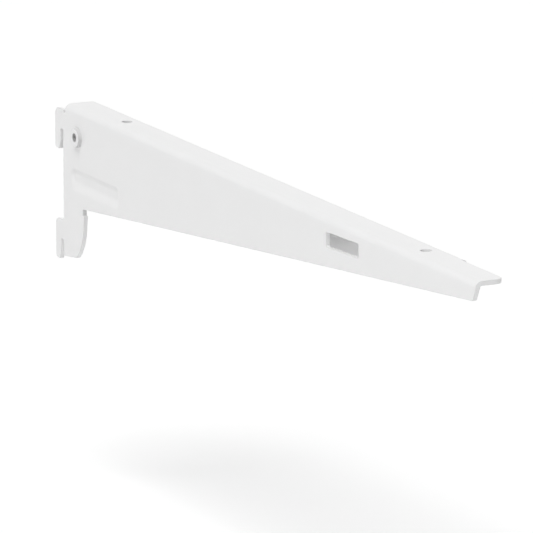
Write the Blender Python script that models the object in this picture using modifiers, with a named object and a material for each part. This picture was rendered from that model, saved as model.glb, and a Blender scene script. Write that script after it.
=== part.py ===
"""Hook-on shelf bracket: one steel sheet, blanked, pressed and folded.

Metres, +Z up, the arm along -Y. The origin is the centre of the bearing edge between the two hooks: X = 0 is
the middle of the outer web's sheet, and Y = 0 is the plane of this edge. The bracket is drawn in depths below
the flange's top plane and reaches from the bearing edge.
"""
import math

import bmesh
import bpy
from mathutils import Matrix, Vector

for leftover in list(bpy.data.objects):
    bpy.data.objects.remove(leftover)

# The sheet and its folds
SHEET = 0.002
FOLD_INNER_RADIUS = 0.001
EDGE_ROUNDING = 0.0002
OVERALL_WIDTH = 0.016

# The arm
ARM_LENGTH = 0.3866
REAR_DEPTH = 0.0442
TIP_DEPTH = 0.0084
TIP_LEAN = math.radians(25)
TIP_CORNER_RADIUS = 0.0015
FOLD_REAR_CLEARANCE = 0.002
INNER_WEB_SET_BACK = 0.036
INNER_WEB_END_LEAN = math.radians(40)
INNER_WEB_CORNER_RADIUS = 0.005
FLANGE_CORNER_RADIUS = 0.004

# What the hooks have to fit: their pitch, and the thickness that they clear, with a little room round it
SLOT_PITCH = 0.050
UPRIGHT_WALL = 0.0020
WALL_CLEARANCE = 0.0006

# The hooks
HOOK_COUNT = 2
HOOK_NECK_HEIGHT = 0.009
HOOK_NOSE_WIDTH = 0.006
HOOK_NOSE_DROP = 0.0095
HOOK_SHOULDER_RADIUS = 0.0035
HOOK_NOSE_RADIUS = 0.0021
HOOK_LEAD_IN = 0.0016
HOOK_LEAD_IN_HEIGHT = 0.004
HOOK_TIP_RADIUS = 0.0008
INNER_CORNER_RADIUS = 0.0005

# The lug under the web, which takes the thrust of the load: its front edge turns at a knee above its toe
LUG_WIDTH = 0.0217
LUG_DEPTH = 0.0694
LUG_KNEE_SET_BACK = 0.0015
LUG_KNEE_SHARE = 0.69
LUG_KNEE_EASE = 0.85
LUG_TOE_WIDTH = 0.0136
LUG_TOE_RISE = 0.0017
LUG_TOE_RADIUS = 0.0015
LUG_HEEL_RADIUS = 0.001

# Relief notches where a fold or an inner corner ends
FOLD_RELIEF_WIDTH = 0.0012
FOLD_RELIEF_DEPTH = 0.0016
FOLD_RELIEF_RADIUS = 0.00058
LUG_RELIEF_DEPTH = 0.0012
LUG_RELIEF_HEIGHT = 0.0029
LUG_RELIEF_RADIUS = 0.0007
LUG_RELIEF_LIP_RADIUS = 0.0003

# The window in the outer web
WINDOW_LENGTH = 0.029
WINDOW_HEIGHT = 0.0061
WINDOW_TIP_INSET = 0.1141
WINDOW_DEPTH = 0.0089
WINDOW_TILT = math.radians(2)
WINDOW_CORNER_RADIUS = 0.0006

# The stiffening bead, pressed inwards
BEAD_START = 0.012
BEAD_END = 0.0548
BEAD_CENTRE_DEPTH = 0.0311
BEAD_WIDTH = 0.0078
BEAD_PRESSED_DEPTH = 0.0006

# The boss, pressed outwards, with a hole in its crown
BOSS_REACH = 0.0154
BOSS_CENTRE_DEPTH = 0.0128
BOSS_RADIUS = 0.0044
BOSS_HEIGHT = 0.0016
BOSS_WALL = 0.0012
BOSS_CROWN = 0.0010
BOSS_FILLET = 0.0007
BOSS_FOOT_SINK = 0.00002
BOSS_HOLE_RADIUS = 0.0019

# Screw holes in the flange
SCREW_HOLE_RADIUS = 0.00225
REAR_SCREW_INSET = 0.050
FRONT_SCREW_INSET = 0.0566

# How finely the round shapes are divided
FOLD_STEPS = 8
ARC_STEP = math.radians(12)
HOLE_SIDES = 32
TURNED_SIDES = 48
BEAD_SIDES = 72
PROFILE_ARC_STEPS = 5
CORNER_SEGMENTS = 6
EDGE_SEGMENTS = 2
EASED_ANGLE = math.radians(50)
FLAT_ANGLE = math.radians(0.5)

# A cutter reaches this far past the faces it cuts, and points this close together are one
CUT_OVERRUN = 0.004
MERGE_DISTANCE = 0.000001
SAME_PLACE = 0.00001

# Worked out from the sizes above
HALF_SHEET = SHEET / 2
FOLD_RADIUS = FOLD_INNER_RADIUS + HALF_SHEET
FOLD_Z = -HALF_SHEET - FOLD_RADIUS
INNER_WEB_X = OVERALL_WIDTH - SHEET
FLANGE_CENTRE_X = INNER_WEB_X / 2
FOLD_REAR_Y = -FOLD_REAR_CLEARANCE
INNER_WEB_FRONT_Y = -(ARM_LENGTH - INNER_WEB_SET_BACK)
TIP_BOTTOM_Y = -ARM_LENGTH + (TIP_DEPTH + FOLD_Z) * math.tan(TIP_LEAN)
BOTTOM_SLOPE = (REAR_DEPTH - TIP_DEPTH) / (TIP_BOTTOM_Y + LUG_WIDTH)
SHELF_PLANE_Z = -FOLD_Z + (HOOK_NECK_HEIGHT + SLOT_PITCH) / 2
HOOK_GAP = UPRIGHT_WALL + WALL_CLEARANCE
HOOK_REACH = HOOK_GAP + HOOK_NOSE_WIDTH
WINDOW_REACH = ARM_LENGTH - WINDOW_TIP_INSET
SCREW_REACHES = (REAR_SCREW_INSET, ARM_LENGTH - FRONT_SCREW_INSET)
BEAD_GROOVE_RADIUS = ((BEAD_WIDTH / 2) ** 2 + BEAD_PRESSED_DEPTH ** 2) / (2 * BEAD_PRESSED_DEPTH)
BEAD_ROOM = 2 * BEAD_WIDTH
BOSS_CROWN_X = -HALF_SHEET - BOSS_HEIGHT


def bottom_edge_z(y):
    """Height of the arm's sloping bottom edge at y."""
    return -REAR_DEPTH + BOTTOM_SLOPE * (y + LUG_WIDTH)


def rounded_outline(corners):
    """Points of a closed outline of (y, z, radius) corners, each corner turned by a tangent arc."""
    points = []
    for index, (y, z, radius) in enumerate(corners):
        corner = Vector((y, z))
        back = (Vector(corners[index - 1][:2]) - corner).normalized()
        ahead = (Vector(corners[(index + 1) % len(corners)][:2]) - corner).normalized()
        if radius == 0:
            points.append(corner)
            continue
        half_angle = back.angle(ahead) / 2
        centre = corner + (back + ahead).normalized() * radius / math.sin(half_angle)
        start = corner + back * radius / math.tan(half_angle) - centre
        turn = start.angle_signed(corner + ahead * radius / math.tan(half_angle) - centre)
        steps = max(2, math.ceil(abs(turn) / ARC_STEP))
        for step in range(steps + 1):
            arm = start.copy()
            arm.rotate(Matrix.Rotation(-turn * step / steps, 2))
            points.append(centre + arm)
    return points


def hook_corners(top_z, root_y, root_radius):
    """Corners of one hook, from its root on the rear edge round the nose to the saddle below the neck."""
    saddle_z = top_z - HOOK_NECK_HEIGHT
    tip_z = saddle_z - HOOK_NOSE_DROP
    return [
        (root_y, top_z, root_radius),
        (HOOK_REACH, top_z, HOOK_SHOULDER_RADIUS),
        (HOOK_REACH, tip_z, HOOK_NOSE_RADIUS),
        (HOOK_GAP + HOOK_LEAD_IN, tip_z, HOOK_TIP_RADIUS),
        (HOOK_GAP, tip_z + HOOK_LEAD_IN_HEIGHT, HOOK_LEAD_IN),
        (HOOK_GAP, saddle_z, INNER_CORNER_RADIUS),
        (0, saddle_z, INNER_CORNER_RADIUS),
    ]


def lug_front_corners():
    """Corners of the lug's front edge, up from the toe over one long curve at the knee to the relief's lip.

    The knee lies its share of the way down from the lip to the toe, and its curve takes the same part of the
    shorter side next to it at any size.
    """
    lip = Vector((-LUG_WIDTH, -REAR_DEPTH - LUG_RELIEF_HEIGHT))
    toe = Vector((-LUG_TOE_WIDTH, -LUG_DEPTH + LUG_TOE_RISE))
    knee = Vector((lip.x + LUG_KNEE_SET_BACK, lip.y + (toe.y - lip.y) * LUG_KNEE_SHARE))
    to_lip = lip - knee
    to_toe = toe - knee
    curve_start = LUG_KNEE_EASE * min(to_lip.length, to_toe.length)
    knee_radius = curve_start * math.tan(to_lip.angle(to_toe) / 2)
    return [
        (toe.x, toe.y, LUG_TOE_RADIUS),
        (knee.x, knee.y, knee_radius),
        (lip.x, lip.y, LUG_RELIEF_LIP_RADIUS),
    ]


def web_corners():
    """Corners of the outer web, hooks and lug, starting at the rear end of the fold line."""
    notch_z = FOLD_Z - FOLD_RELIEF_DEPTH
    notch_y = FOLD_REAR_Y + FOLD_RELIEF_WIDTH
    corners = [
        (FOLD_REAR_Y, FOLD_Z, 0),
        (FOLD_REAR_Y, notch_z, FOLD_RELIEF_RADIUS),
        (notch_y, notch_z, FOLD_RELIEF_RADIUS),
    ]
    corners += hook_corners(FOLD_Z, notch_y, INNER_CORNER_RADIUS)
    for hook in range(1, HOOK_COUNT):
        corners += hook_corners(FOLD_Z - hook * SLOT_PITCH, 0, INNER_CORNER_RADIUS)
    relief_y = -LUG_WIDTH + LUG_RELIEF_DEPTH
    relief_z = -REAR_DEPTH - LUG_RELIEF_HEIGHT
    corners.append((0, -LUG_DEPTH, LUG_HEEL_RADIUS))
    corners += lug_front_corners()
    corners += [
        (relief_y, relief_z, LUG_RELIEF_RADIUS),
        (relief_y, bottom_edge_z(relief_y), LUG_RELIEF_RADIUS),
        (TIP_BOTTOM_Y, -TIP_DEPTH, TIP_CORNER_RADIUS),
        (-ARM_LENGTH, FOLD_Z, 0),
    ]
    return corners


def window_corners():
    """Corners of the window, a rectangle tilted a little towards the slope of the bottom edge."""
    centre = Vector((-WINDOW_REACH, -WINDOW_DEPTH))
    turn = Matrix.Rotation(-WINDOW_TILT, 2)
    corners = []
    for side_y, side_z in ((-1, -1), (1, -1), (1, 1), (-1, 1)):
        offset = Vector((side_y * WINDOW_LENGTH / 2, side_z * WINDOW_HEIGHT / 2))
        corner = centre + turn @ offset
        corners.append((corner.x, corner.y, WINDOW_CORNER_RADIUS))
    return corners


def add_spline(curve, points):
    """One closed straight-sided spline of the given points."""
    spline = curve.splines.new('POLY')
    spline.points.add(len(points) - 1)
    for spline_point, point in zip(spline.points, points):
        spline_point.co = (point.x, point.y, 0, 1)
    spline.use_cyclic_u = True


def flat_web(collection):
    """The outer web as an open flat surface in the plane X = 0."""
    curve = bpy.data.curves.new("web_outline", 'CURVE')
    curve.dimensions = '2D'
    curve.fill_mode = 'BOTH'
    add_spline(curve, rounded_outline(web_corners()))
    add_spline(curve, rounded_outline(window_corners()))
    outline = bpy.data.objects.new("web_outline", curve)
    # the outline's x and y become the world's Y and Z
    outline.matrix_world = Matrix(((0, 0, 1, 0), (1, 0, 0, 0), (0, 1, 0, 0), (0, 0, 0, 1)))
    collection.objects.link(outline)
    bpy.context.view_layer.update()
    depsgraph = bpy.context.evaluated_depsgraph_get()
    mesh = bpy.data.meshes.new_from_object(outline.evaluated_get(depsgraph))
    mesh.transform(outline.matrix_world)
    bpy.data.objects.remove(outline)
    return mesh


def edge_between(bm, y_low, y_high, x, z):
    """The edge along Y that runs from y_low to y_high at the given x and z."""
    for edge in bm.edges:
        ends = sorted(edge.verts, key=lambda vert: vert.co.y)
        targets = (Vector((x, y_low, z)), Vector((x, y_high, z)))
        if all((end.co - target).length < SAME_PLACE for end, target in zip(ends, targets)):
            return edge
    raise ValueError("no edge on this fold line")


def fold(bm, edge, centre_x):
    """Turn the sheet through a right angle about a line along Y, and return the new edge."""
    turned = bmesh.ops.spin(
        bm, geom=[edge] + list(edge.verts), cent=(centre_x, 0, FOLD_Z), axis=(0, 1, 0),
        angle=math.pi / 2, steps=FOLD_STEPS, use_merge=False)
    return next(item for item in turned["geom_last"] if isinstance(item, bmesh.types.BMEdge))


def extend(bm, edge, offset):
    """Carry the sheet on from an edge by an offset, and return the new edge."""
    result = bmesh.ops.extrude_edge_only(bm, edges=[edge])
    verts = [item for item in result["geom"] if isinstance(item, bmesh.types.BMVert)]
    bmesh.ops.translate(bm, verts=verts, vec=offset)
    return next(item for item in result["geom"] if isinstance(item, bmesh.types.BMEdge)
                and all(vert in verts for vert in item.verts))


def folded_sheet(collection):
    """The sheet's middle surface: outer web, first fold, flange, second fold and inner web."""
    mesh = flat_web(collection)
    bm = bmesh.new()
    bm.from_mesh(mesh)
    bmesh.ops.remove_doubles(bm, verts=bm.verts, dist=MERGE_DISTANCE)
    bmesh.ops.dissolve_limit(bm, angle_limit=FLAT_ANGLE, verts=bm.verts, edges=bm.edges)
    web_edge = edge_between(bm, -ARM_LENGTH, FOLD_REAR_Y, 0, FOLD_Z)
    first_fold = fold(bm, web_edge, FOLD_RADIUS)
    flange_edge = extend(bm, first_fold, (INNER_WEB_X - 2 * FOLD_RADIUS, 0, 0))
    # the inner web starts behind the tip, and the flange's free corner in front of it is rounded
    front, rear = sorted(flange_edge.verts, key=lambda vert: vert.co.y)
    share = (INNER_WEB_FRONT_Y - front.co.y) / (rear.co.y - front.co.y)
    _, split = bmesh.utils.edge_split(flange_edge, front, share)
    second_edge = next(edge for edge in split.link_edges if rear in edge.verts)
    second_fold = fold(bm, second_edge, INNER_WEB_X - FOLD_RADIUS)
    inner_edge = extend(bm, second_fold, (0, 0, -REAR_DEPTH))
    inner_front, inner_rear = sorted(inner_edge.verts, key=lambda vert: vert.co.y)
    inner_rear.co.z = bottom_edge_z(inner_rear.co.y)
    end_height = FOLD_Z - bottom_edge_z(inner_front.co.y)
    inner_front.co.y += end_height * math.tan(INNER_WEB_END_LEAN)
    inner_front.co.z = bottom_edge_z(inner_front.co.y)
    for corner, radius in ((front, FLANGE_CORNER_RADIUS),
                           (inner_front, INNER_WEB_CORNER_RADIUS),
                           (inner_rear, INNER_WEB_CORNER_RADIUS)):
        bmesh.ops.bevel(bm, geom=[corner], offset=radius, offset_type='OFFSET', segments=CORNER_SEGMENTS,
                        profile=0.5, affect='VERTICES')
    bmesh.ops.recalc_face_normals(bm, faces=bm.faces)
    bm.to_mesh(mesh)
    bm.free()
    return mesh


def turned_body(name, profile, collection, origin):
    """A body turned about an axis along X; the profile is (radius, x) points from axis to axis."""
    mesh = bpy.data.meshes.new(name)
    edges = [(index, index + 1) for index in range(len(profile) - 1)]
    mesh.from_pydata([(radius, 0, x) for radius, x in profile], edges, [])
    body = bpy.data.objects.new(name, mesh)
    collection.objects.link(body)
    screw = body.modifiers.new("turn", 'SCREW')
    screw.axis = 'Z'
    screw.steps = TURNED_SIDES
    screw.render_steps = TURNED_SIDES
    screw.use_merge_vertices = True
    screw.merge_threshold = MERGE_DISTANCE
    # the turned body's own axis is laid along X
    body.rotation_euler = (0, math.radians(90), 0)
    body.location = origin
    return body


def profile_arc(centre, radius, start_angle, end_angle):
    """Points of an arc in a (radius, x) profile, from one angle to the other."""
    points = []
    for step in range(PROFILE_ARC_STEPS + 1):
        angle = start_angle + (end_angle - start_angle) * step / PROFILE_ARC_STEPS
        points.append((centre[0] + radius * math.cos(angle), centre[1] + radius * math.sin(angle)))
    return points


def boss_body(collection):
    """The boss: a round plug from inside the sheet out to its crown, with a fillet at its foot."""
    foot_centre = (BOSS_RADIUS + BOSS_FILLET, -HALF_SHEET + BOSS_FOOT_SINK - BOSS_FILLET)
    crown_centre = (BOSS_RADIUS - BOSS_FILLET, BOSS_CROWN_X + BOSS_FILLET)
    profile = [(0, 0), (BOSS_RADIUS + BOSS_FILLET, 0)]
    profile += profile_arc(foot_centre, BOSS_FILLET, math.pi / 2, math.pi)
    profile += profile_arc(crown_centre, BOSS_FILLET, 0, -math.pi / 2)
    profile.append((0, BOSS_CROWN_X))
    return turned_body("boss_body", profile, collection, (0, -BOSS_REACH, -BOSS_CENTRE_DEPTH))


def boss_hollow(collection):
    """The hollow behind the boss and the hole through its crown."""
    hollow_radius = BOSS_RADIUS - BOSS_WALL
    ceiling_x = BOSS_CROWN_X + BOSS_CROWN
    corner_centre = (hollow_radius - BOSS_FILLET, ceiling_x + BOSS_FILLET)
    profile = [(0, HALF_SHEET + CUT_OVERRUN), (hollow_radius, HALF_SHEET + CUT_OVERRUN)]
    profile += profile_arc(corner_centre, BOSS_FILLET, 0, -math.pi / 2)
    profile += [(BOSS_HOLE_RADIUS, ceiling_x), (BOSS_HOLE_RADIUS, BOSS_CROWN_X - CUT_OVERRUN)]
    profile.append((0, BOSS_CROWN_X - CUT_OVERRUN))
    return turned_body("boss_hollow", profile, collection, (0, -BOSS_REACH, -BOSS_CENTRE_DEPTH))


def bead_capsule(name, radius, collection):
    """A ball drawn out along Y to the bead's length, centred on the axis that both of its faces share."""
    bm = bmesh.new()
    bmesh.ops.create_uvsphere(bm, u_segments=BEAD_SIDES, v_segments=BEAD_SIDES // 2 + 1, radius=radius)
    bmesh.ops.rotate(bm, verts=bm.verts, matrix=Matrix.Rotation(math.radians(90), 3, 'X'))
    half_run = (BEAD_END - BEAD_START) / 2
    for side in (-1, 1):
        ball_half = [vert for vert in bm.verts if vert.co.y * side > 0]
        bmesh.ops.translate(bm, verts=ball_half, vec=(0, side * half_run, 0))
    mesh = bpy.data.meshes.new(name)
    bm.to_mesh(mesh)
    bm.free()
    capsule = bpy.data.objects.new(name, mesh)
    capsule.location = (-HALF_SHEET - BEAD_GROOVE_RADIUS + BEAD_PRESSED_DEPTH, -(BEAD_START + BEAD_END) / 2,
                        -BEAD_CENTRE_DEPTH)
    collection.objects.link(capsule)
    return capsule


def box(name, low, high, collection):
    """A box between two corners."""
    bm = bmesh.new()
    bmesh.ops.create_cube(bm, size=1)
    size = Vector(high) - Vector(low)
    bmesh.ops.scale(bm, verts=bm.verts, vec=size)
    mesh = bpy.data.meshes.new(name)
    bm.to_mesh(mesh)
    bm.free()
    body = bpy.data.objects.new(name, mesh)
    body.location = (Vector(low) + Vector(high)) / 2
    collection.objects.link(body)
    return body


def screw_hole(name, reach, collection):
    """A round cutter through the flange."""
    bm = bmesh.new()
    bmesh.ops.create_cone(bm, cap_ends=True, segments=HOLE_SIDES, radius1=SCREW_HOLE_RADIUS,
                          radius2=SCREW_HOLE_RADIUS, depth=SHEET + 2 * CUT_OVERRUN)
    mesh = bpy.data.meshes.new(name)
    bm.to_mesh(mesh)
    bm.free()
    cutter = bpy.data.objects.new(name, mesh)
    cutter.location = (FLANGE_CENTRE_X, -reach, -HALF_SHEET)
    collection.objects.link(cutter)
    return cutter


def combine(body, other, operation):
    """Join a shape to the body, cut it away, or keep what the two share."""
    boolean = body.modifiers.new(other.name, 'BOOLEAN')
    boolean.operation = operation
    boolean.solver = 'EXACT'
    boolean.object = other
    other.hide_render = True
    other.display_type = 'WIRE'


def white_coat():
    """White powder coat over steel."""
    material = bpy.data.materials.new("white_powder_coat")
    material.use_nodes = True
    shader = material.node_tree.nodes["Principled BSDF"]
    shader.inputs["Base Color"].default_value = (0.80, 0.80, 0.79, 1)
    shader.inputs["Roughness"].default_value = 0.45
    shader.inputs["Metallic"].default_value = 0.0
    return material


def build_bracket(parts, cutters):
    """The bracket: the folded sheet with its bead, boss and holes, and its edges eased by the coat."""
    mesh = folded_sheet(cutters)
    mesh.name = "bracket"
    bracket = bpy.data.objects.new("bracket", mesh)
    parts.objects.link(bracket)
    mesh.materials.clear()
    mesh.materials.append(white_coat())

    sheet = bracket.modifiers.new("sheet", 'SOLIDIFY')
    sheet.thickness = SHEET
    sheet.offset = 0
    sheet.use_even_offset = True

    # the bead keeps the sheet's thickness: its ridge inside is one sheet larger than its groove outside
    ridge = bead_capsule("bead_ridge", BEAD_GROOVE_RADIUS + SHEET, cutters)
    low_corner = (0, -BEAD_END - BEAD_ROOM, -BEAD_CENTRE_DEPTH - BEAD_ROOM)
    high_corner = (BEAD_ROOM, BEAD_ROOM, -BEAD_CENTRE_DEPTH + BEAD_ROOM)
    inner_half = box("bead_inner_half", low_corner, high_corner, cutters)
    combine(ridge, inner_half, 'INTERSECT')
    combine(bracket, ridge, 'UNION')
    combine(bracket, bead_capsule("bead_groove", BEAD_GROOVE_RADIUS, cutters), 'DIFFERENCE')

    combine(bracket, boss_body(cutters), 'UNION')
    combine(bracket, boss_hollow(cutters), 'DIFFERENCE')
    for number, reach in enumerate(SCREW_REACHES, start=1):
        combine(bracket, screw_hole(f"screw_hole_{number}", reach, cutters), 'DIFFERENCE')

    eased = bracket.modifiers.new("eased_edges", 'BEVEL')
    eased.width = EDGE_ROUNDING
    eased.segments = EDGE_SEGMENTS
    eased.limit_method = 'ANGLE'
    eased.angle_limit = EASED_ANGLE
    return bracket


bracket_parts = bpy.data.collections.new("shelf_bracket")
bracket_cutters = bpy.data.collections.new("cutters")
bpy.context.scene.collection.children.link(bracket_parts)
bpy.context.scene.collection.children.link(bracket_cutters)
build_bracket(bracket_parts, bracket_cutters)

# everything is drawn below the flange's top plane, which this empty lifts to its height over the origin
shelf_plane = bpy.data.objects.new("shelf_plane", None)
shelf_plane.location = (0, 0, SHELF_PLANE_Z)
for drawn in list(bracket_parts.objects) + list(bracket_cutters.objects):
    drawn.parent = shelf_plane
bracket_parts.objects.link(shelf_plane)
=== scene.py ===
"""Hook-on shelf bracket in its white powder coat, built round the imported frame.

Metres, +Z up, the arm along -Y. X = 0 is the middle of the outer web's sheet, and Y = 0 the bearing edge
between the hooks. The bracket is made as the real one is: a flat blank is cut, pressed, and folded twice.
"""
import math

import bpy
import numpy as np
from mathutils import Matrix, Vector
from mathutils.geometry import delaunay_2d_cdt


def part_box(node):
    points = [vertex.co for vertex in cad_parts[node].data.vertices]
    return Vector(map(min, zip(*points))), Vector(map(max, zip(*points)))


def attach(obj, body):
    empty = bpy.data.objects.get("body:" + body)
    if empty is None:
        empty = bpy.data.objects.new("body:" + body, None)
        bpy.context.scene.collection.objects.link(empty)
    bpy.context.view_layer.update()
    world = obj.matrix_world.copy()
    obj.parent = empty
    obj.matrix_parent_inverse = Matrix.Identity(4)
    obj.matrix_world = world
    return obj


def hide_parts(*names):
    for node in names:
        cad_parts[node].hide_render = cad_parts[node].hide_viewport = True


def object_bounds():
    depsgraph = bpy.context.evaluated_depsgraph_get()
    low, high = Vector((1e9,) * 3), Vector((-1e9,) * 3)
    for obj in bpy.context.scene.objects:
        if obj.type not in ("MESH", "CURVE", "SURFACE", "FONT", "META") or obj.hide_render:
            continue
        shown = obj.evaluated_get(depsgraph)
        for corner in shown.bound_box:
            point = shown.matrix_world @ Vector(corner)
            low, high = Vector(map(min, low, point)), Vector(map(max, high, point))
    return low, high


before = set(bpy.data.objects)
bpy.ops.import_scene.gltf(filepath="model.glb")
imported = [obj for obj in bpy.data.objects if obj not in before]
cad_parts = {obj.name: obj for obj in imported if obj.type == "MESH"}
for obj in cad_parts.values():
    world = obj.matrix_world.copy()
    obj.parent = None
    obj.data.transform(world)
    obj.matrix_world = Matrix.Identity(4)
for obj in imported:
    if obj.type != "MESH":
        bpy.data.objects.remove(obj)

cad_low, cad_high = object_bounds()


# The cut blank
# The real piece starts as one flat blank of 2 mm cold-rolled steel, punched with its hooks, lug, window and
# holes. A point on it is (u, s): u runs along the arm as Y does, and s runs across the blank. It is 0 at the
# first fold line, negative down the outer web, and positive over the flange and the inner web.
node_low, node_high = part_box("bracket")
SHEET = 0.002
HALF_SHEET = SHEET / 2
FOLD_RADIUS = 0.002
FOLD_DEPTH = 0.003
FLANGE_TOP_Z = node_high.z
TIP_U = node_low.y
REAR_U = -0.002
HOOK_REACH = node_high.y
INNER_WEB_X = node_high.x - HALF_SHEET

fold_length = FOLD_RADIUS * math.pi / 2
flange_start = fold_length
flange_end = flange_start + INNER_WEB_X - 2 * FOLD_RADIUS
inner_web_start = flange_end + fold_length

REAR_DEPTH = 0.0442
TIP_DEPTH = 0.0084
TIP_LEAN = math.radians(25)
LUG_WIDTH = 0.0217
tip_bottom_u = TIP_U + (TIP_DEPTH - FOLD_DEPTH) * math.tan(TIP_LEAN)
bottom_slope = (REAR_DEPTH - TIP_DEPTH) / (tip_bottom_u + LUG_WIDTH)


def web_height(u):
    """How far the web reaches below its fold line at u: a straight taper from the lug to the tip."""
    return REAR_DEPTH - bottom_slope * (u + LUG_WIDTH) - FOLD_DEPTH


def rounded(corners, arc_points=11):
    """Turn (u, s, radius) corners into a smooth outline, and give each point's outward direction.

    At a corner between unit vectors b, back, and a, ahead, that meet at the angle 2h, the arc's centre lies
    radius / sin h along b + a, and the arc turns from radius / tan h along b to the same distance along a.
    The outline keeps the material on its left, so a left turn bulges outwards and a right turn is hollow.
    """
    corners = np.array(corners, float)
    point, radius = corners[:, :2], corners[:, 2:]
    back = np.roll(point, 1, axis=0) - point
    ahead = np.roll(point, -1, axis=0) - point
    back /= np.linalg.norm(back, axis=1, keepdims=True)
    ahead /= np.linalg.norm(ahead, axis=1, keepdims=True)
    half = np.arccos(np.sum(back * ahead, axis=1, keepdims=True)) / 2
    middle = (back + ahead) / np.linalg.norm(back + ahead, axis=1, keepdims=True)
    centre = point + middle * radius / np.sin(half)
    start = point + back * radius / np.tan(half) - centre
    bulge = np.sign(back[:, 1:] * ahead[:, :1] - back[:, :1] * ahead[:, 1:])
    turn = bulge * (math.pi - 2 * half)
    angle = np.arctan2(start[:, 1:], start[:, :1]) + turn * np.linspace(0, 1, arc_points)
    spoke = np.stack([np.cos(angle), np.sin(angle)], axis=2)
    points = centre[:, None] + radius[:, None] * spoke
    outward = bulge[:, None] * spoke
    return points.reshape(-1, 2), outward.reshape(-1, 2)


LEVEL_TOLERANCE = 1e-7


def crossed(outline, levels):
    """Add a point to an outline wherever it crosses one of the s levels, so that a fold can bend it.

    The point lies on the crossing piece at the share of its length at which s reaches the level.
    """
    points, outward = outline
    for level in levels:
        here, there = points[:, 1], np.roll(points[:, 1], -1)
        below, above = level - LEVEL_TOLERANCE, level + LEVEL_TOLERANCE
        cuts = np.flatnonzero((here < below) & (there > above) | (here > above) & (there < below))
        share = ((level - here[cuts]) / (there[cuts] - here[cuts]))[:, None]
        following = (cuts + 1) % len(points)
        new_points = points[cuts] * (1 - share) + points[following] * share
        new_outward = outward[cuts] * (1 - share) + outward[following] * share
        new_outward /= np.linalg.norm(new_outward, axis=1, keepdims=True)
        points = np.insert(points, cuts + 1, new_points, axis=0)
        outward = np.insert(outward, cuts + 1, new_outward, axis=0)
    return points, outward


def round_hole(centre_u, centre_s, radius, sides=48):
    """A hole's outline, a circle run clockwise so that the material stays on its left."""
    angle = -np.linspace(0, 2 * math.pi, sides, endpoint=False)
    spoke = np.stack([np.cos(angle), np.sin(angle)], axis=1)
    return np.array([centre_u, centre_s]) + radius * spoke, -spoke


# The hooks
# Two hooks, a pitch of 50 mm apart, are cut in the web's rear edge and carry the whole bracket. Each is a
# neck that reaches back from the web and a nose that hangs down behind it, sloped at its tip to slip in.
HOOK_PITCH = 0.050
HOOK_GAP = 0.0026
NECK_HEIGHT = 0.009
NOSE_DROP = 0.0095
SHOULDER_RADIUS = 0.0035
NOSE_RADIUS = 0.0021
LEAD_IN = 0.0016
LEAD_IN_HEIGHT = 0.004
NOSE_TIP_RADIUS = 0.0008
INNER_CORNER = 0.0005


def hook(top, root_u):
    """Corners of one hook from the saddle under its neck, down and round its nose, to the root on top."""
    saddle = top - NECK_HEIGHT
    tip = saddle - NOSE_DROP
    return [
        (0, saddle, INNER_CORNER),
        (HOOK_GAP, saddle, INNER_CORNER),
        (HOOK_GAP, tip + LEAD_IN_HEIGHT, LEAD_IN),
        (HOOK_GAP + LEAD_IN, tip, NOSE_TIP_RADIUS),
        (HOOK_REACH, tip, NOSE_RADIUS),
        (HOOK_REACH, top, SHOULDER_RADIUS),
        (root_u, top, INNER_CORNER),
    ]


# The lug
# Below the arm the web carries on down as a lug, whose rear edge takes the thrust of the load. Its front
# edge sweeps back in one large curve, and a small relief is cut where it meets the arm's edge.
LUG_DEPTH = 0.0694
KNEE_WIDTH = 0.0202
KNEE_DEPTH = 0.0613
KNEE_RADIUS = 0.0215
TOE_WIDTH = 0.0136
TOE_DEPTH = 0.0677
TOE_RADIUS = 0.0015
HEEL_RADIUS = 0.001
RELIEF_DEPTH = 0.0012
RELIEF_HEIGHT = 0.0029
RELIEF_RADIUS = 0.0007
RELIEF_LIP_RADIUS = 0.0003
relief_u = -LUG_WIDTH + RELIEF_DEPTH
relief_s = FOLD_DEPTH - REAR_DEPTH - RELIEF_HEIGHT

lug = [
    (relief_u, -web_height(relief_u), RELIEF_RADIUS),
    (relief_u, relief_s, RELIEF_RADIUS),
    (-LUG_WIDTH, relief_s, RELIEF_LIP_RADIUS),
    (-KNEE_WIDTH, FOLD_DEPTH - KNEE_DEPTH, KNEE_RADIUS),
    (-TOE_WIDTH, FOLD_DEPTH - TOE_DEPTH, TOE_RADIUS),
    (0, FOLD_DEPTH - LUG_DEPTH, HEEL_RADIUS),
]

# The rest of the outline
# A narrow relief beside the upper hook lets the first fold end cleanly. The flange runs to the tip, with its
# free corner rounded, and the inner web starts behind the tip with a sloping end.
FOLD_RELIEF_WIDTH = 0.0012
FOLD_RELIEF_DEPTH = 0.0016
FOLD_RELIEF_RADIUS = 0.00058
INNER_WEB_SET_BACK = 0.036
INNER_WEB_END_LEAN = math.radians(40)
INNER_WEB_REAR_CORNER = 0.0045
INNER_WEB_FRONT_CORNER = 0.0122
FLANGE_CORNER = 0.004
TIP_CORNER = 0.0015
SQUARE_CORNER = 0.0004
relief_rear_u = REAR_U + FOLD_RELIEF_WIDTH
inner_front_u = TIP_U + INNER_WEB_SET_BACK
inner_end_u = inner_front_u + web_height(inner_front_u) * math.tan(INNER_WEB_END_LEAN)

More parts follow.
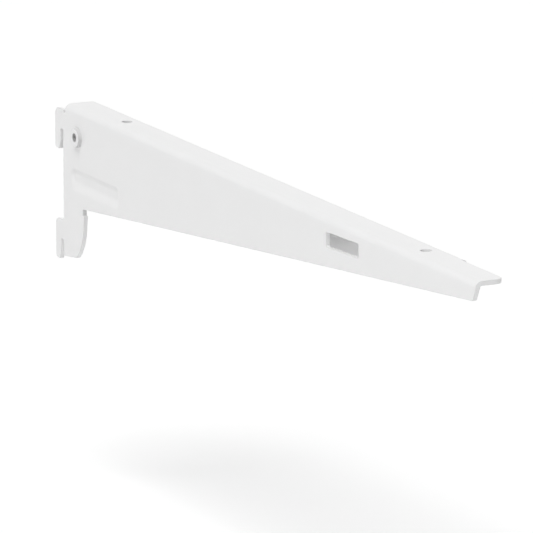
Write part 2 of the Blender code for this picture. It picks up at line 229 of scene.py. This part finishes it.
outline = [(tip_bottom_u, FOLD_DEPTH - TIP_DEPTH, TIP_CORNER)]
outline += lug
outline += hook(-HOOK_PITCH, 0)
outline += hook(0, relief_rear_u)
outline += [
    (relief_rear_u, -FOLD_RELIEF_DEPTH, FOLD_RELIEF_RADIUS),
    (REAR_U, -FOLD_RELIEF_DEPTH, FOLD_RELIEF_RADIUS),
    (REAR_U, inner_web_start + web_height(REAR_U), INNER_WEB_REAR_CORNER),
    (inner_end_u, inner_web_start + web_height(inner_end_u), INNER_WEB_FRONT_CORNER),
    (inner_front_u, inner_web_start, SQUARE_CORNER),
    (inner_front_u, flange_end, SQUARE_CORNER),
    (TIP_U, flange_end, FLANGE_CORNER),
    (TIP_U, 0, SQUARE_CORNER),
]

# The window and the holes
# A narrow window is punched near the front of the outer web, and two plain holes in the flange, which is
# fixed through them from below. The boss in front of the upper hook has a small hole through its crown.
WINDOW_LENGTH = 0.029
WINDOW_HEIGHT = 0.0061
WINDOW_REACH = 0.2725
WINDOW_DEPTH = 0.0089
WINDOW_TILT = math.radians(2)
WINDOW_CORNER = 0.0006
SCREW_HOLE_RADIUS = 0.00225
SCREW_INSET = 0.050
SCREW_TIP_INSET = 0.0566
BOSS_U = -0.0154
BOSS_S = FOLD_DEPTH - 0.0128
BOSS_HOLE_RADIUS = 0.0019

along = np.array([math.cos(WINDOW_TILT), -math.sin(WINDOW_TILT)]) * WINDOW_LENGTH / 2
across = np.array([math.sin(WINDOW_TILT), math.cos(WINDOW_TILT)]) * WINDOW_HEIGHT / 2
window_centre = np.array([-WINDOW_REACH, FOLD_DEPTH - WINDOW_DEPTH])
window = [(*(window_centre + a * along + b * across), WINDOW_CORNER)
          for a, b in ((-1, -1), (-1, 1), (1, 1), (1, -1))]
flange_middle = (flange_start + flange_end) / 2

# The loops that bound the material: the outline has a point on every row of the two folds.
FOLD_ROWS = 12
fold_steps = np.linspace(0, fold_length, FOLD_ROWS + 1)
fold_levels = np.concatenate([fold_steps, flange_end + fold_steps])
loops = [
    crossed(rounded(outline), fold_levels),
    rounded(window),
    round_hole(-SCREW_INSET, flange_middle, SCREW_HOLE_RADIUS),
    round_hole(TIP_U + SCREW_TIP_INSET, flange_middle, SCREW_HOLE_RADIUS),
    round_hole(BOSS_U, BOSS_S, BOSS_HOLE_RADIUS),
]

# The pressed forms
# A press sinks a stiffening bead into the outer web above the lug, and raises a round boss in front of the
# upper hook. The sheet flows round both with soft shoulders, and each shows inside as its counterpart.
BEAD_START = -0.012
BEAD_END = -0.0548
BEAD_S = FOLD_DEPTH - 0.0311
BEAD_FLAT = 0.0011
BEAD_HALF_WIDTH = 0.0042
BEAD_DEPTH = 0.0009
BEAD_LOWER_SPREAD = 0.62
BOSS_HEIGHT = 0.0016
BOSS_FOOT = 0.0046
BOSS_SHOULDER = 0.0042
BOSS_CROWN = 0.0010
HOLLOW_FOOT = 0.0038
HOLLOW_SHOULDER = 0.0027


def soft_step(value, low, high):
    """1 up to low, 0 from high, and between them a smooth fall, 1 - 3x^2 + 2x^3 of the way x across."""
    x = np.clip((value - low) / (high - low), 0, 1)
    return 1 - x * x * (3 - 2 * x)


def skin_heights(u, s):
    """Heights of the outer and the inner skin over the sheet's middle, out from the web, at points (u, s).

    The bead sinks both skins by its depth times a soft step of the distance from its centre line, which
    leaves a flat strip along its middle; below the line distances count for less, so that side is softer.
    The boss lifts the outer skin by a soft step of the distance from its centre, and the hollow behind it
    lifts the inner one by a narrower step, which leaves a thinned crown.
    """
    beyond = np.maximum(0, np.abs(u - (BEAD_START + BEAD_END) / 2) - (BEAD_START - BEAD_END) / 2)
    aside = np.where(s < BEAD_S, BEAD_LOWER_SPREAD, 1) * (s - BEAD_S)
    distance = np.hypot(beyond, aside)
    bead = BEAD_DEPTH * soft_step(distance, BEAD_FLAT, BEAD_HALF_WIDTH)
    from_boss = np.hypot(u - BOSS_U, s - BOSS_S)
    boss = BOSS_HEIGHT * soft_step(from_boss, BOSS_SHOULDER, BOSS_FOOT)
    hollow = (BOSS_HEIGHT + SHEET - BOSS_CROWN) * soft_step(from_boss, HOLLOW_SHOULDER, HOLLOW_FOOT)
    return HALF_SHEET + boss - bead, -HALF_SHEET + hollow - bead


# The folded sheet
# The blank is folded twice in a press brake, first up to the flange and then down to the inner web, with an
# inside radius of half the sheet. The powder coat rounds every cut edge a little.
EDGE_RADIUS = 0.00025
EDGE_STEPS = 4
SLOPE_STEP = 0.000002


def folded(u, s):
    """The sheet's middle surface and its directions outwards and across, at points (u, s) of the blank.

    The blank turns by the angle q, which is 0 on the outer web, the arc length over the radius in the first
    fold, a right angle on the flange, and a half turn on the inner web.
    """
    first = np.clip(s, 0, fold_length)
    second = np.clip(s - flange_end, 0, fold_length)
    flange = np.clip(s - flange_start, 0, flange_end - flange_start)
    below = np.minimum(s, 0) - np.maximum(s - inner_web_start, 0)
    q = (first + second) / FOLD_RADIUS
    x = FOLD_RADIUS * (1 - np.cos(first / FOLD_RADIUS)) + flange + FOLD_RADIUS * np.sin(second / FOLD_RADIUS)
    rise = FOLD_RADIUS * (np.sin(first / FOLD_RADIUS) + np.cos(second / FOLD_RADIUS) - 1)
    z = FLANGE_TOP_Z - FOLD_DEPTH + rise + below
    zero = np.zeros_like(q)
    place = np.stack([x, u, z], axis=-1)
    out = np.stack([-np.cos(q), zero, np.sin(q)], axis=-1)
    over = np.stack([np.sin(q), zero, np.cos(q)], axis=-1)
    return place, out, over


def sheet_point(u, s, share):
    """Points in the sheet: share runs from 1 on the outer skin to -1 on the inner one.

    Each is the middle surface's point, moved outwards by the share's blend of the two skins' heights.
    """
    place, out, _ = folded(u, s)
    outer, inner = skin_heights(u, s)
    return place + out * (inner + (outer - inner) * (share + 1) / 2)[..., None]


def skin_directions(u, s):
    """Unit directions out of the outer skin and of the inner one: each is out, less the skin's slopes."""
    _, out, over = folded(u, s)
    forward = np.array([0.0, 1.0, 0.0])
    low_u, high_u = skin_heights(u - SLOPE_STEP, s), skin_heights(u + SLOPE_STEP, s)
    low_s, high_s = skin_heights(u, s - SLOPE_STEP), skin_heights(u, s + SLOPE_STEP)
    directions = []
    for skin, sign in ((0, 1), (1, -1)):
        slope_u = (high_u[skin] - low_u[skin]) / (2 * SLOPE_STEP)
        slope_s = (high_s[skin] - low_s[skin]) / (2 * SLOPE_STEP)
        direction = sign * (out - slope_u[..., None] * forward - slope_s[..., None] * over)
        directions.append(direction / np.linalg.norm(direction, axis=-1, keepdims=True))
    return directions


def apart(points, others, gap):
    """Those of the points that lie farther than the gap from all of the others."""
    distance = np.linalg.norm(points[:, None] - others[None], axis=2).min(axis=1)
    return points[distance > gap]


def grid(low, high, spacing):
    """Points of an even grid over a rectangle of the blank.

    Each side is split into as many parts as its length over the spacing, to the nearest whole number.
    """
    counts = [max(2, round((b - a) / spacing) + 1) for a, b in zip(low, high)]
    u, s = np.meshgrid(*(np.linspace(a, b, count) for a, b, count in zip(low, high, counts)))
    return np.stack([u.ravel(), s.ravel()], axis=1)


def inside(points, loops):
    """Whether each point lies on the material.

    There a line drawn from the point to one side crosses the loops an odd number of times.
    """
    crossings = np.zeros(len(points), int)
    for loop in loops:
        here, there = loop, np.roll(loop, -1, axis=0)
        spans = (here[:, 1] > points[:, None, 1]) != (there[:, 1] > points[:, None, 1])
        rise = np.where(there[:, 1] == here[:, 1], 1, there[:, 1] - here[:, 1])
        meets = here[:, 0] + (points[:, None, 1] - here[:, 1]) * (there[:, 0] - here[:, 0]) / rise
        crossings += np.sum(spans & (points[:, None, 0] < meets), axis=1)
    return crossings % 2 == 1


CONVEX_HULL = 0
SAME_POINT = 1e-8
FLAT_SPACING = 0.005
BEAD_SPACING = 0.0004
FOLD_SPACING = 0.006
CROWN_RINGS = 10
FLANK_RINGS = 16
BOSS_SPOKES = 72

# The mesh's points on the blank: its loops, drawn in by the edge's rounding, a fine grid on the bead, rings
# on the boss, rows along the folds, and an even grid over the rest.
inset_loops = [points - EDGE_RADIUS * outward for points, outward in loops]
edge_points = np.concatenate(inset_loops)
blank_low, blank_high = edge_points.min(axis=0), edge_points.max(axis=0)

bead_margin = BEAD_HALF_WIDTH + BEAD_SPACING
bead_points = grid((BEAD_END - bead_margin, BEAD_S - bead_margin / BEAD_LOWER_SPREAD),
                   (BEAD_START + bead_margin, BEAD_S + bead_margin), BEAD_SPACING)
crown_rings = np.linspace(BOSS_HOLE_RADIUS + 2 * EDGE_RADIUS, BOSS_SHOULDER, CROWN_RINGS)
flank_rings = np.linspace(BOSS_SHOULDER, BOSS_FOOT, FLANK_RINGS)
ring_radius = np.concatenate([crown_rings[:-1], flank_rings, [BOSS_FOOT + EDGE_RADIUS]])[:, None]
ring_angle = np.linspace(0, 2 * math.pi, BOSS_SPOKES, endpoint=False)
boss_points = np.stack([BOSS_U + ring_radius * np.cos(ring_angle),
                        BOSS_S + ring_radius * np.sin(ring_angle)], axis=2).reshape(-1, 2)
pressed_points = np.concatenate([bead_points, boss_points])

flat_points = grid(blank_low, blank_high, FLAT_SPACING)
from_first_fold = np.abs(flat_points[:, 1] - fold_length / 2)
from_second_fold = np.abs(flat_points[:, 1] - flange_end - fold_length / 2)
flat_points = flat_points[np.minimum(from_first_fold, from_second_fold) > FLAT_SPACING / 2]
flat_points = flat_points[inside(flat_points, inset_loops)]
flat_points = apart(flat_points, edge_points, FLAT_SPACING / 4)
flat_points = apart(flat_points, pressed_points, FLAT_SPACING / 4)

row_margin = 2 * EDGE_RADIUS
fold_rows = []
for fold_start, front_u in ((0, TIP_U), (flange_end, inner_front_u)):
    for level in fold_start + fold_steps:
        row_front, row_rear = front_u + row_margin, REAR_U - row_margin
        stations = np.linspace(row_front, row_rear, round((row_rear - row_front) / FOLD_SPACING) + 1)
        fold_rows.append(np.stack([stations, np.full_like(stations, level)], axis=1))

blank_points = np.concatenate(inset_loops + fold_rows + [pressed_points, flat_points])
loop_sizes = [len(points) for points in inset_loops]
loop_starts = np.concatenate([[0], np.cumsum(loop_sizes)[:-1]])
edge_index = np.arange(len(edge_points))
edge_following = np.concatenate([start + np.roll(np.arange(size), -1)
                                 for start, size in zip(loop_starts, loop_sizes)])
row_sizes = [len(row) for row in fold_rows]
row_starts = len(edge_points) + np.concatenate([[0], np.cumsum(row_sizes)[:-1]])
row_links = [np.stack([start + np.arange(size - 1), start + np.arange(1, size)], axis=1)
             for start, size in zip(row_starts, row_sizes)]
blank_links = np.concatenate([np.stack([edge_index, edge_following], axis=1)] + row_links)

# Triangles between these points, out to their convex hull, with the loops and the fold rows kept as edges.
# Those whose middle lies on the material stay, and all are made to run the same way round.
_, _, triangles, sources, _, _ = delaunay_2d_cdt([Vector(point) for point in blank_points],
                                                 blank_links.tolist(), [], CONVEX_HULL, SAME_POINT)
triangles = np.array([source[0] for source in sources])[np.array(triangles)]
triangles = triangles[inside(blank_points[triangles].mean(axis=1), inset_loops)]
corner_a, corner_b, corner_c = (blank_points[triangles[:, corner]] for corner in range(3))
turned = np.cross(corner_b - corner_a, corner_c - corner_a) < 0
triangles[turned] = triangles[turned][:, ::-1]

# The edge's profile, from the outer skin round to the inner one, as how far it lies inside the outline, its
# share of the sheet's thickness, and its direction as parts along the skin's own and along the outline's.
turn = np.linspace(0, math.pi / 2, EDGE_STEPS + 1)
profile_inset = EDGE_RADIUS * (1 - np.sin(turn))
profile_share = 1 - EDGE_RADIUS / HALF_SHEET * (1 - np.cos(turn))

# Powder draws back a little from the rounded edges, where the coat is thinner. The walls of the boss's hole
# and of the relief beside the lug, and the boss's steep side, are greyed as painted shade.
EDGE_THINNING = 0.2
RELIEF_PAINTED_SHADE = 0.3
RELIEF_REACH = (0.0012, 0.0020)
HOLE_PAINTED_SHADE = 0.6
HOLE_REACH = (BOSS_HOLE_RADIUS + EDGE_RADIUS, BOSS_HOLE_RADIUS + 2 * EDGE_RADIUS)
FLANK_PAINTED_SHADE = 0.35
FLANK_REACH = (0.0001, 0.0004)

u, s = blank_points.T
skin_points = [sheet_point(u, s, 1.0), sheet_point(u, s, -1.0)]
skin_normals = skin_directions(u, s)

outline_points = np.concatenate([points for points, _ in loops])
outline_outward = np.concatenate([outward for _, outward in loops])
_, _, over = folded(*outline_points.T)
edge_direction = outline_outward[:, :1] * np.array([0.0, 1.0, 0.0]) + outline_outward[:, 1:] * over
# Painted shade: the walls of the relief and of the boss's hole are greyed as if they lay in shade.
from_relief = np.hypot(outline_points[:, 0] - relief_u, outline_points[:, 1] - relief_s - RELIEF_HEIGHT / 2)
from_hole = np.hypot(outline_points[:, 0] - BOSS_U, outline_points[:, 1] - BOSS_S)
painted_recess_shade = np.maximum(RELIEF_PAINTED_SHADE * soft_step(from_relief, *RELIEF_REACH),
                    HOLE_PAINTED_SHADE * soft_step(from_hole, *HOLE_REACH))
# Painted shade: a ring round the boss's steep side is greyed as if it lay in shade.
from_flank = np.abs(np.hypot(u - BOSS_U, s - BOSS_S) - (BOSS_SHOULDER + BOSS_FOOT) / 2)
flank_painted_shade = FLANK_PAINTED_SHADE * soft_step(from_flank, *FLANK_REACH)
edge_rows, edge_normals, edge_row_greying_and_shade = [], [], []
for skin, sign in ((0, 1), (1, -1)):
    rows = range(1, EDGE_STEPS + 1) if skin == 0 else range(EDGE_STEPS, 0, -1)
    for row in rows:
        row_u, row_s = (outline_points - profile_inset[row] * outline_outward).T
        skin_direction = skin_directions(row_u, row_s)[skin]
        normal = math.cos(turn[row]) * skin_direction + math.sin(turn[row]) * edge_direction
        edge_rows.append(sheet_point(row_u, row_s, sign * profile_share[row]))
        edge_normals.append(normal / np.linalg.norm(normal, axis=1, keepdims=True))
        edge_row_greying_and_shade.append(np.maximum(EDGE_THINNING * math.sin(2 * turn[row]), painted_recess_shade))

# The two skins are joined all round by the rows of the rounded edge.
vertices = np.concatenate(skin_points + edge_rows)
normals = np.concatenate(skin_normals + edge_normals)
edge_and_shade_greying = np.concatenate([flank_painted_shade, np.zeros(len(blank_points))] + edge_row_greying_and_shade)

row_offsets = [0] + [2 * len(blank_points) + row * len(edge_points) for row in range(len(edge_rows))]
row_offsets.append(len(blank_points))
quads = []
for upper, lower in zip(row_offsets[:-1], row_offsets[1:]):
    quads.append(np.stack([upper + edge_index, upper + edge_following,
                           lower + edge_following, lower + edge_index], axis=1))
quads = np.concatenate(quads)
faces = triangles[:, ::-1].tolist() + (triangles + len(blank_points)).tolist() + quads.tolist()

bracket_mesh = bpy.data.meshes.new("folded_bracket")
bracket_mesh.from_pydata(vertices.tolist(), [], faces)
bracket_mesh.polygons.foreach_set("use_smooth", np.ones(len(faces), bool))
bracket_mesh.normals_split_custom_set_from_vertices(normals.tolist())
# Per point: grey where the coat is thin on edges, and painted shade in the relief, the hole and the boss's
# flank.
coat_thin_and_shade_mask = bracket_mesh.attributes.new("coat_thin_and_shade_mask", 'FLOAT', 'POINT')
coat_thin_and_shade_mask.data.foreach_set("value", edge_and_shade_greying)
bracket_mesh.validate()
bracket = bpy.data.objects.new("folded_bracket", bracket_mesh)
bpy.context.scene.collection.objects.link(bracket)
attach(bracket, "root")
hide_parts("bracket")


# The powder coat
# White polyester powder is sprayed on dry and baked. It flows out to a satin skin with a faint orange peel,
# and draws back a little from the sharp edges, where it is thinner and looks greyer. The same grey is mixed
# in as painted shade in the relief, in the boss's hole and on the boss's steep side.
COAT_COLOUR = (0.885, 0.885, 0.885, 1)
GREY_STEEL_AND_SHADE_COLOUR = (0.20, 0.20, 0.20, 1)
CLOUD_SCALE = 35
CLOUD_SHIFT = 0.02
PEEL_SCALE = 620
PEEL_HEIGHT = 0.00005
GRAIN_SCALE = 2600
GRAIN_SHARE = 0.2
COAT_ROUGHNESS = 0.38
ROUGHNESS_SHIFT = 0.06
NOISE_MEAN = 0.5
STEADY_MASK_SHARE = 0.7
CLOUDY_MASK_SHARE = 0.6

# A Mix node's sockets for two colours, by number
MIX_FACTOR, FIRST_COLOUR, SECOND_COLOUR, MIXED_COLOUR = 0, 6, 7, 2


class Shade:
    """A value in a material's node tree, so that shader maths reads as plain arithmetic."""

    def __init__(self, tree, socket=None):
        self.tree = tree
        self.socket = socket

    def node(self, kind, settings=None, sockets=None, output=0):
        """Add a node of a kind: its settings are set first, then its sockets take values or links."""
        node = self.tree.nodes.new(kind)
        for name, value in (settings or {}).items():
            setattr(node, name, value)
        for name, value in (sockets or {}).items():
            if isinstance(value, Shade):
                self.tree.links.new(value.socket, node.inputs[name])
            else:
                node.inputs[name].default_value = value
        return Shade(self.tree, node.outputs[output] if node.outputs else None)

    def math(self, operation, first, second):
        """Add a Math node that works on two values or links."""
        return self.node('ShaderNodeMath', {"operation": operation}, {0: first, 1: second})

    def __add__(self, other):
        return self.math('ADD', self, other)

    __radd__ = __add__

    def __mul__(self, other):
        return self.math('MULTIPLY', self, other)

    __rmul__ = __mul__

    def __sub__(self, other):
        return self.math('SUBTRACT', self, other)

    def __rsub__(self, other):
        return self.math('SUBTRACT', other, self)


powder_coat = bpy.data.materials.new("white_powder_coat_satin")
powder_coat.use_nodes = True
powder_coat.node_tree.nodes.clear()
coat = Shade(powder_coat.node_tree)
place = coat.node('ShaderNodeTexCoord', output="Object")
clouds = coat.node('ShaderNodeTexNoise', sockets={"Vector": place, "Scale": CLOUD_SCALE, "Detail": 3.0})
peel = coat.node('ShaderNodeTexNoise', sockets={"Vector": place, "Scale": PEEL_SCALE, "Detail": 2.0})
grain = coat.node('ShaderNodeTexNoise', sockets={"Vector": place, "Scale": GRAIN_SCALE, "Detail": 1.0})
read_greying_mask = coat.node('ShaderNodeAttribute', {"attribute_name": "coat_thin_and_shade_mask"}, output="Fac")

# Grey where the coat is thin on the edges, and painted shade in the relief, the hole and the boss's flank.
greying_with_shade = read_greying_mask * (STEADY_MASK_SHARE + CLOUDY_MASK_SHARE * clouds) + CLOUD_SHIFT * clouds
colour = coat.node('ShaderNodeMix', {"data_type": 'RGBA'},
                   {MIX_FACTOR: greying_with_shade, FIRST_COLOUR: COAT_COLOUR, SECOND_COLOUR: GREY_STEEL_AND_SHADE_COLOUR},
                   output=MIXED_COLOUR)
roughness = COAT_ROUGHNESS + ROUGHNESS_SHIFT * (clouds - NOISE_MEAN)
surface = coat.node('ShaderNodeBump', sockets={"Strength": 1.0, "Distance": PEEL_HEIGHT,
                                               "Height": peel + GRAIN_SHARE * grain})
shader = coat.node('ShaderNodeBsdfPrincipled', sockets={"Base Color": colour, "Roughness": roughness,
                                                        "Normal": surface})
coat.node('ShaderNodeOutputMaterial', sockets={"Surface": shader})
bracket_mesh.materials.append(powder_coat)


# The studio floor
# A pale matt floor, far enough below that the bracket's shadow falls on it softly. To the camera and in
# reflections it glows a little, so that it reads as white. From below it is clear.
FLOOR_DROP = 0.10
FLOOR_RADIUS = 8.0
FLOOR_SIDES = 96
FLOOR_COLOUR = (0.95, 0.95, 0.95, 1)
FLOOR_GLOW = 0.17

floor_angle = np.linspace(0, 2 * math.pi, FLOOR_SIDES, endpoint=False)
floor_z = cad_low[2] - FLOOR_DROP
floor_rim = np.stack([FLOOR_RADIUS * np.cos(floor_angle), FLOOR_RADIUS * np.sin(floor_angle),
                      np.full(FLOOR_SIDES, floor_z)], axis=1)
floor_mesh = bpy.data.meshes.new("studio_floor")
floor_mesh.from_pydata(floor_rim.tolist(), [], [list(range(FLOOR_SIDES))])
floor = bpy.data.objects.new("studio_floor", floor_mesh)
bpy.context.scene.collection.objects.link(floor)


def looked_at(shade):
    """1 for what is seen, straight, in a reflection or through glass, and 0 for what only gives light.

    It is the sum of three kinds of ray, camera, glossy and transmission, which each count 1 or 0.
    """
    camera, glossy, through = (shade.node('ShaderNodeLightPath', output=ray)
                               for ray in ("Is Camera Ray", "Is Glossy Ray", "Is Transmission Ray"))
    return camera + glossy + through


floor_paint = bpy.data.materials.new("studio_floor_white")
floor_paint.use_nodes = True
floor_paint.node_tree.nodes.clear()
paint = Shade(floor_paint.node_tree)
matt = paint.node('ShaderNodeBsdfDiffuse', sockets={"Color": FLOOR_COLOUR})
glow = paint.node('ShaderNodeEmission', sockets={"Strength": FLOOR_GLOW * looked_at(paint)})
lit = paint.node('ShaderNodeAddShader', sockets={0: matt, 1: glow})
underside = paint.node('ShaderNodeNewGeometry', output="Backfacing")
clear = paint.node('ShaderNodeBsdfTransparent')
one_sided = paint.node('ShaderNodeMixShader', sockets={0: underside, 1: lit, 2: clear})
paint.node('ShaderNodeOutputMaterial', sockets={"Surface": one_sided})
floor_mesh.materials.append(floor_paint)


# The studio light
# White all round, dimmer as light than as what the camera sees, with one soft key light from high on the
# left, a faint one from behind on the right, and a small panel in front of the tip.
SKY_LIGHT = 0.41
KEY_FROM = (-0.40, -0.16, 0.90)
KEY_STRENGTH = 1.5
KEY_SOFTNESS = math.radians(35)
FILL_FROM = (0.75, 0.45, 0.48)
FILL_STRENGTH = 0.3
FILL_SOFTNESS = math.radians(60)
PANEL_FROM_TIP = (-0.88, -0.55, 0.33)
PANEL_POWER = 1.1
PANEL_SIZE = 0.5

world = bpy.data.worlds.new("studio")
bpy.context.scene.world = world
world.use_nodes = True
world.node_tree.nodes.clear()
sky = Shade(world.node_tree)
seen = looked_at(sky)
brightness = seen + SKY_LIGHT * (1 - seen)
white = sky.node('ShaderNodeBackground', sockets={"Color": (1, 1, 1, 1), "Strength": brightness})
sky.node('ShaderNodeOutputWorld', sockets={"Surface": white})

for name, direction, strength, softness in (("key", KEY_FROM, KEY_STRENGTH, KEY_SOFTNESS),
                                            ("fill", FILL_FROM, FILL_STRENGTH, FILL_SOFTNESS)):
    lamp = bpy.data.lights.new(name, 'SUN')
    lamp.energy = strength
    lamp.angle = softness
    lamp_object = bpy.data.objects.new(name, lamp)
    lamp_object.rotation_euler = Vector(direction).to_track_quat('Z', 'Y').to_euler()
    bpy.context.scene.collection.objects.link(lamp_object)

panel = bpy.data.lights.new("panel", 'AREA')
panel.shape = 'DISK'
panel.size = PANEL_SIZE
panel.energy = PANEL_POWER
panel_object = bpy.data.objects.new("panel", panel)
panel_object.location = Vector((0, TIP_U, 0)) + Vector(PANEL_FROM_TIP)
panel_object.rotation_euler = Vector(PANEL_FROM_TIP).to_track_quat('Z', 'Y').to_euler()
panel_object.visible_camera = False
bpy.context.scene.collection.objects.link(panel_object)


# The camera
# It stands in front of the tip and to the left, a little above the bracket, as in the photograph.
CAMERA_PLACE = Vector((-1.0969, -2.4267, 0.5747))
CAMERA_LENS = 415
SENSOR_WIDTH = 36

camera = bpy.data.cameras.new("camera")
camera.lens = CAMERA_LENS
camera.sensor_width = SENSOR_WIDTH
camera_object = bpy.data.objects.new("camera", camera)
camera_object.location = CAMERA_PLACE
aim = (node_low + node_high) / 2
camera_object.rotation_euler = (aim - CAMERA_PLACE).to_track_quat('-Z', 'Y').to_euler()
bpy.context.scene.collection.objects.link(camera_object)
bpy.context.scene.camera = camera_object
bpy.context.scene.view_settings.view_transform = 'Standard'
